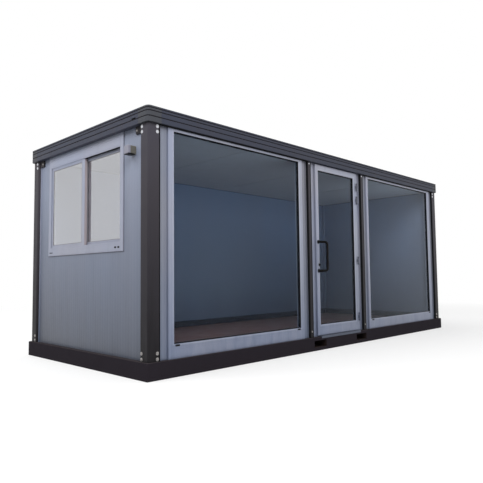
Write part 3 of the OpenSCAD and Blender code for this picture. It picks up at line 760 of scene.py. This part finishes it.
def handle_roses():
    """Collars where the pull handle's arms meet the stile."""
    low, high = span("door_pull_handle")
    radius, axis_in = 15 * MM, 21 * MM
    roses = Shape(ON_FRONT)
    for up in (low.z + radius, high.z - radius):
        roses.turned((low.x + axis_in, high.y, up), [(24, -0.5), (24, 3), (22.5, 4.5), (18, 5.5)], steps=32)
    roses.piece("door_pull_roses", BLACK, "black_handle", 0, body="door")


def lock_set():
    """Euro cylinder with roses on both faces, and the lever handle on the inside."""
    low, high = span("door_lock")
    leaf_low, leaf_high = span("door_leaf")
    rose_mm, neck_mm = 16, 9
    centre, up, lever_up = low.x + rose_mm * MM, low.z + rose_mm * MM, high.z - rose_mm * MM
    metal, dark = shapes(ON_FRONT, 2)
    rose = [(rose_mm, 0), (rose_mm, 5), (rose_mm - 1.5, 7), (rose_mm - 4, 8)]
    inside, along = (0, 1, 0), (1, 0, 0)
    dark.turned((centre, leaf_low.y, up), rose, steps=36)
    metal.turned((centre, leaf_high.y, up), rose, inside, 36)
    metal.turned((centre, leaf_high.y, lever_up), rose, inside, 36)
    reach = (high.y - leaf_high.y) / MM - neck_mm
    neck = [(neck_mm, 0), (neck_mm - 0.5, reach / 2), (neck_mm, reach)]
    metal.turned((centre, leaf_high.y, lever_up), neck, inside)
    length = (high.x - centre) / MM
    grip = [(8, -9), (9, -8), (9, 20), (8.2, 50), (8.2, length - 6), (7, length - 2), (4, length)]
    metal.turned((centre, leaf_high.y + reach * MM, lever_up), grip, along)
    metal.piece("door_lock_lever", STAINLESS, "lock_steel", 0, ["door_lock"], body="door")
    dark.turned((centre, leaf_high.y + 7.9 * MM, up + 2 * MM), [(8, -1), (8, 0.1)], inside)
    dark.piece("door_lock_rose", BLACK, "black_handle", 0, body="door")


def hinge_screws():
    """Two countersunk screws in each hinge wing on the leaf."""
    wing_face = span("door_leaf")[0].y - 10 * MM
    wing_middle = span("door_hinge_leaves")[0].x + 9 * MM
    screws = Shape(ON_FRONT)
    for up in hinge_heights():
        for shift in (-24 * MM, 24 * MM):
            screws.turned((wing_middle, wing_face, up + shift),
                          [(5, -0.5), (5, 0.4), (4, 1), (2, 1, 6), (1.8, -0.4, 6)], steps=18)
    screws.piece("door_hinge_screws", STAINLESS, "lock_steel", 0, body="door")


def hinge_heights():
    """Middle heights of the hinges, from the knuckles in the CAD node."""
    apart = 60 * MM
    ups = sorted(round(v.co.z, 4) for v in cad_nodes["door_hinge_leaves"].data.vertices)
    gaps = [(low, high) for low, high in zip(ups, ups[1:]) if high - low > apart]
    ends = [ups[0], *(up for gap in gaps for up in gap), ups[-1]]
    return [(low + high) / 2 for low, high in zip(ends[::2], ends[1::2])]


# ------ side window
def window_frame():
    """The side window's frame with its inner lip, and a fillet of sealant up its sides and along its foot.
    """
    low, high = span("window_frame", ON_LEFT)
    sash_low, sash_high = span("window_sashes", ON_LEFT)
    thick = high.y - low.y
    side = banded(sash_low.x - low.x, thick, [(8, 2.4, 1.6), (44, 2, 1.2)])
    sill = banded(sash_low.z - low.z, thick, [(8, 2.4, 1.6), (72, 2, 1.2)])
    head = banded(high.z - sash_high.z, thick, [(40, 2.4, 1.6), (112, 2, 1.2)])
    bars, sealant = shapes(ON_LEFT, 2)
    bars.four_bars(low, high, side, side, sill, head)
    bars.mitred(in_mm((0, 0.6), (8, 2), (8, 6), (0, 7.6)), sash_low.xz, sash_high.xz, low.y)
    bars.piece("window_frame_profiles", SILVER, "silver_profile", 0.6, ["window_frame"])
    fillet = in_mm((-6, 0.5), (-5, -1), (0.2, -6), (0.2, 0.5))
    sealant.sides(fillet, low.x, high.x, WALL_FACE, low.z, high.z)
    sealant.level(fillet, low.z, WALL_FACE, low.x - 6 * MM, high.x + 6 * MM)
    sealant.piece("window_sealant", SEALANT, "seal_rubber", 0)


def window_sashes():
    """Two sliding sashes whose meeting stiles overlap, with their panes and the seals round them."""
    low, high = span("window_sashes", ON_LEFT)
    member = span("window_panes", ON_LEFT)[0].x - low.x
    meeting, deep, bead_mm = 64 * MM, 28 * MM, 14
    bead = bead_mm * MM
    wide = (high.x - low.x + meeting) / 2
    end = high.x - wide
    groove = [(7, 2, 1.2)]
    rail = banded(member - bead, deep, groove)
    sashes, seals, outer, inner, spacers, track, brush = shapes(ON_LEFT, 7)
    # A black strip in the empty half of the outer track, painted shade for the dark empty channel, and a
    # seal up the end of the outer sash.
    track.level(in_mm((0, 0), (10, 1), (10, 26), (0, 26)), high.z, low.y, low.x, end, -1)
    track.upright(in_mm((0.3, 29), (-3, 29), (-3, 32), (0.3, 32)), end, low.y, low.z, high.z)
    track.piece("window_track_shade_and_seal", RUBBER, "seal_rubber", 0.3)
    brush.upright(in_mm((0.3, 1.5), (-2.5, 1.5), (-2.5, 28.8), (0.3, 28.8)), end, low.y, low.z, high.z)
    brush.piece("window_brush_seal", BRUSH, "seal_rubber", 0.3)
    parts = sashes, seals, outer, inner, spacers
    bars = member - bead, meeting - bead
    for start, face, (left, right) in ((low.x, high.y - deep, bars), (end, low.y, reversed(bars))):
        foot, top = Vector((start, face, low.z)), Vector((start + wide, face, high.z))
        stiles = [banded(stile, deep, groove) for stile in (left, right)]
        sashes.four_bars(foot, top, *stiles, rail, rail)
        opening = foot.xz + Vector((left, bars[0])), top.xz - Vector((right, bars[0]))
        glazing(parts, *opening, face, bead_mm, deep / MM, (6, 22), 8, spacer_in=2, sheet=4, lip=5)
    sashes.piece("window_sash_profiles", SILVER, "silver_profile", 0.5, ["window_sashes"])
    outer.piece("window_glass_outer", WINDOW_GLASS, "window_glass", 0.4, ["window_panes"])
    inner.piece("window_glass_inner", CLEAR_GLASS, "window_glass", 0.4)
    spacers.piece("window_glass_spacers", SPACER, "silver_profile", 0.3)
    seals.piece("window_glass_seals", LIT_GREY_RUBBER, "seal_rubber", 0.3)


def window_drain_caps():
    """Two larger caps at the front end of the sill and two smaller ones at its back end."""
    low, high = span("window_frame", ON_LEFT)
    caps = Shape(ON_LEFT)
    for across in (low.x + 78 * MM, low.x + 136 * MM):
        drain_cap(caps, across, low.y, low.z + 40 * MM, 32, 18)
    for across in (high.x - 50 * MM, high.x - 92 * MM):
        drain_cap(caps, across, low.y, low.z + 36 * MM, 24, 12)
    caps.piece("window_drain_caps", RUBBER, "seal_rubber", 0.6)


# ------ wall fittings
def power_inlet():
    """Surface socket box with a lid that hangs out over a lip at its foot; the pale lid and darker olive
    body are painted light and shade on one grey plastic, and the black lip is painted shade.
    """
    low, high = span("power_inlet", ON_LEFT)
    wall, middle = high.y, (low.x + high.x) / 2 - 8 * MM
    out = (high.y - low.y) / MM
    box, lid, lip, screws = shapes(ON_LEFT, 4)

    def plate(half, foot, head, depth):
        """A ring with cut corners, in mm: half its width, its ends inside the box's, its depth."""
        left, right = middle - half * MM, middle + half * MM
        outline = cut_corners(left, low.z + foot * MM, right, high.z - head * MM, 8 * MM)
        return [(across, wall + depth * MM, up) for across, up in outline]

    box.skin([plate(38, 3, 0, 3), plate(38, 3, 0, -5), plate(37, 4, 1, -6)])
    box.skin([plate(34, 6, 2, -5), plate(34, 6, 2, -58), plate(33, 7, 3, -59)])
    box.piece("power_inlet_box", INLET_BODY_PAINTED_SHADE, "inlet_plastic", 1.2, ["power_inlet"])
    lid.skin([plate(35, 6, 1, -59.5), plate(37, 5, 0, -61), plate(37, 5, 0, 6 - out), plate(33, 9, 4, -out)])
    for side in (-1, 1):
        spot = (middle + side * 14 * MM, wall - 66 * MM, high.z - 3 * MM)
        lid.turned(spot, [(4, -12), (4, 12)], (1, 0, 0), 16)
    lid.piece("power_inlet_lid", INLET_LID_PAINTED_LIGHT, "inlet_plastic", 1.5)
    # Painted shade: the lip is black for the shade under the lid.
    half, thick = 37 * MM, 5.5 * MM
    lip.block((middle - half, low.y + 4 * MM, low.z), (middle + half, wall - 12 * MM, low.z + thick))
    lip.piece("power_inlet_lip_painted_shade", BLACK, "inlet_plastic", 1)
    for across in (middle - 33 * MM, middle + 33 * MM):
        for up in (low.z + 8 * MM, high.z - 5 * MM):
            screws.turned((across, wall - 6 * MM, up), [(2.4, 0), (2.4, 1), (1.6, 1.6)], steps=12)
    screws.piece("power_inlet_screws", ZINC, "bolt_zinc", 0)


def wall_trims():
    """Edge profiles where the wall panels meet the corner posts, with a bolted angle at the head of each."""
    face = WALL_FACE - 8 * MM
    trim = in_mm((0, 0), (2, -1.5), (11, -1.5), (12, 0), (12, 8), (0, 8))
    angle = in_mm((0, -8), (100, -8), (100, 8), (0, 8))
    angle_h, bolt_in, bolt_down = 72 * MM, 76 * MM, 40 * MM
    for name in ("back", "left", "right"):
        place, low, high = WALLS[name]
        low, high = low + CORNER, high - CORNER
        trims, angles, bolts = shapes(place, 3)
        trims.sides(trim, low, high, face, BASE_TOP, ROOF_UNDER)
        angles.sides(angle, low, high, face, ROOF_UNDER - angle_h, ROOF_UNDER)
        for across in (low + bolt_in, high - bolt_in):
            bolt(bolts, across, face - 8 * MM, ROOF_UNDER - bolt_down, 9)
        trims.piece(f"wall_edge_trims_{name}", SILVER, "silver_profile", 0.5)
        # The angles wear the near-black copy of the frame paint, a painted shade.
        angles.piece(f"wall_head_angles_{name}", SHADED_BRACKET_STEEL, "frame_steel", 1)
        bolts.piece(f"wall_head_bolts_{name}", DULL_ZINC, "bolt_zinc", 0)


def inner_corner_trims():
    """Folded covers over the corner posts inside the room, above the skirting."""
    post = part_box("corner_post_back_right")[0]
    wall_x, wall_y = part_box("right_wall_panel_2")[0].x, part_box("back_wall_panel_1")[0].y
    thick, play, gap = 1.2 * MM, 0.3 * MM, 0.5 * MM
    low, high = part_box("skirting")[1].z + gap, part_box("ceiling")[0].z - gap
    near, over = [(post.x - off, post.y - off) for off in (play + thick, play)]
    plan = [near, (wall_x, near[1]), (wall_x, over[1]), over, (over[0], wall_y), (near[0], wall_y)]
    trims = Shape()
    for to_side in (1, -1):
        for to_back in (1, -1):
            trims.skin([[(to_side * x, to_back * y, z) for x, y in plan] for z in (low, high)])
    trims.piece("inner_corner_trims", PANEL, "wall_panel", 0.4)


# ------ roof and ceiling
def fascia_lines():
    """Dark strips in the long grooves of the roof frame, round its rounded corners: painted shade for the
    shadow in the grooves.
    """
    lines = Shape()
    tall, face, sunk = 9.6 * MM, 1.2 * MM, 2.9 * MM
    radius, steps = 40 * MM, 8
    centres = [(LEFT + radius, FRONT + radius, 180), (RIGHT - radius, FRONT + radius, 270),
               (RIGHT - radius, BACK - radius, 0), (LEFT + radius, BACK - radius, 90)]
    for middle in (52 * MM, 101 * MM, 129 * MM):
        low, high = ROOF_UNDER + middle - tall / 2, ROOF_UNDER + middle + tall / 2
        rings = []
        for x, y, start in centres:
            for i in range(steps + 1):
                angle = math.radians(start + 90 * i / steps)
                along = Vector((math.cos(angle), math.sin(angle), 0))
                rings.append([Vector((x, y, z)) + (radius - sink) * along
                              for sink, z in ((face, low), (face, high), (sunk, high), (sunk, low))])
        lines.skin(rings, closed=True)
    lines.piece("fascia_groove_shade_strips", GROOVE_SHADE, "seal_rubber", 0)


def fascia_slot_painted_shade():
    """A black patch for the drain slot in the roof frame of the left end, beside the front corner: painted
    shade for the slot's dark inside.
    """
    slot = Shape(ON_LEFT)
    drain_cap(slot, FRONT + 225 * MM, 4 * MM, ROOF_UNDER + 63 * MM, 76, 16)
    slot.piece("fascia_slot_painted_shade", RUBBER, "seal_rubber", 0.6)


def roof_screws():
    """Sheet screws with sealing washers in the valleys of the roof sheet."""
    low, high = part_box("roof_sheet")
    ribs, rows, edge, valley_down = 24, 5, 120 * MM, 25 * MM
    pitch = (high.x - low.x) / ribs
    row_pitch = (high.y - low.y - 2 * edge) / (rows - 1)
    head = [(8, -0.5), (8, 1.5), (5.5, 2.2), (4.2, 2.3, 6), (4.2, 6, 6), (3.2, 7, 6)]
    screws = Shape()
    for i in range(ribs):
        for j in range(rows):
            spot = (low.x + (i + 0.15) * pitch, low.y + edge + j * row_pitch, high.z - valley_down)
            screws.turned(spot, head, (0, 0, 1), 12)
    screws.piece("roof_sheet_screws", ZINC, "bolt_zinc", 0)


def ceiling_strips():
    """Cover strips over the joints of the ceiling board."""
    low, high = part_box("ceiling")
    joints, reach = 3, SOFFIT + 5 * MM
    section = in_mm((-22, 0.5), (-22, -1.5), (-20, -3), (20, -3), (22, -1.5), (22, 0.5))
    strips = Shape()
    for i in range(1, joints + 1):
        x = low.x + i * (high.x - low.x) / (joints + 1)
        strips.skin([[(x + a, y, low.z + b) for a, b in section] for y in (FRONT + reach, BACK - reach)])
    strips.piece("ceiling_cover_strips", CEILING, "ceiling_board", 0)


# ------ room around it
def studio_floor():
    """A plain pale floor that keeps the shadow and turns white like the background further out."""
    look = Look("studio_floor", (0.5, 0.5, 0.5, 1), 0.9, specular_ior_level=0.0, emission_color=(1, 1, 1, 1))
    look.stain((0.52, 0.52, 0.52, 1), look.noise(0.2, 2), 0.0, 1.0, 0.05)
    seen = look.seen()
    look.feed(look.shader.inputs["Emission Strength"], look.math("MULTIPLY", seen, 0.5))
    material = look.done()
    white = look.node("ShaderNodeEmission", {"Strength": seen}).outputs[0]
    distance = look.node("ShaderNodeVectorMath", {0: look.place}, operation="LENGTH").outputs["Value"]
    layers = {0: look.between(distance, 5.0, 11.0), 1: look.shader.outputs[0], 2: white}
    look.feed(look.output.inputs["Surface"], look.node("ShaderNodeMixShader", layers).outputs[0])
    reach = 60.0
    corners = [(-reach, -reach, 0), (reach, -reach, 0), (reach, reach, 0), (-reach, reach, 0)]
    data = bpy.data.meshes.new("studio_floor")
    data.from_pydata(corners, [], [(0, 1, 2, 3)])
    data.materials.append(material)
    ground = add("studio_floor", data)
    ground.location.z = -0.5 * MM


def background():
    """White to look at, a plain soft light on the object."""
    world = bpy.data.worlds.new("studio")
    bpy.context.scene.world = world
    world.use_nodes = True
    nodes = Nodes(world.node_tree)
    shader = world.node_tree.nodes["Background"]
    shader.inputs["Color"].default_value = (1, 1, 1, 1)
    nodes.feed(shader.inputs["Strength"], nodes.between(nodes.seen(), 0.0, 1.0, 0.38, 1.0))


def lamps():
    """Soft square lamps, each with its place, its power in watts and its side in metres."""
    aim = Vector((0, 0, 1.2))
    for name, spot, power, side in [
            ("key", (-5.4, -5.6, 6.0), 340, 3.5), ("fill", (9.0, -7.0, 6.0), 250, 6.0),
            ("side", (-7.2, 1.2, 6.2), 190, 3.5), ("back", (-2.0, 10.0, 7.0), 420, 7.0),
            ("top", (0.0, 0.0, 9.0), 260, 6.0)]:
        light = bpy.data.lights.new(name, "AREA")
        light.energy = power
        light.shape = "SQUARE"
        light.size = side
        lamp = add(name, light)
        lamp.location = spot
        lamp.rotation_euler = (aim - Vector(spot)).to_track_quat("-Z", "Y").to_euler()
        lamp.visible_glossy = False
        lamp.visible_transmission = False


def camera():
    """At eye level off the near corner, looking along the shop front."""
    eye, lens_mm, sensor_mm = (-5.679, -4.973, 0.915), 38.21, 36
    yaw, pitch, roll = (math.radians(angle) for angle in (45.63, 3.85, -0.61))
    ahead = Vector((math.sin(yaw) * math.cos(pitch), math.cos(yaw) * math.cos(pitch), math.sin(pitch)))
    right = Vector((math.cos(yaw), -math.sin(yaw), 0))
    up = right.cross(ahead)
    right, up = math.cos(roll) * right + math.sin(roll) * up, math.cos(roll) * up - math.sin(roll) * right
    data = bpy.data.cameras.new("camera")
    data.lens = lens_mm
    data.sensor_width = sensor_mm
    view = add("camera", data)
    view.matrix_world = Matrix.Translation(eye) @ Matrix((right, up, -ahead)).transposed().to_4x4()
    bpy.context.scene.camera = view


dress_frame()
wall_panels()
post_bolts()
glazed_bays()
filler_strips()
door_jambs()
threshold()
post_seals()
head_seals_and_shade_strips()
door_leaf()
handle_roses()
lock_set()
hinge_screws()
window_frame()
window_sashes()
window_drain_caps()
power_inlet()
wall_trims()
inner_corner_trims()
fascia_lines()
fascia_slot_painted_shade()
roof_screws()
ceiling_strips()
studio_floor()
background()
lamps()
camera()
bpy.context.scene.view_settings.view_transform = "Standard"
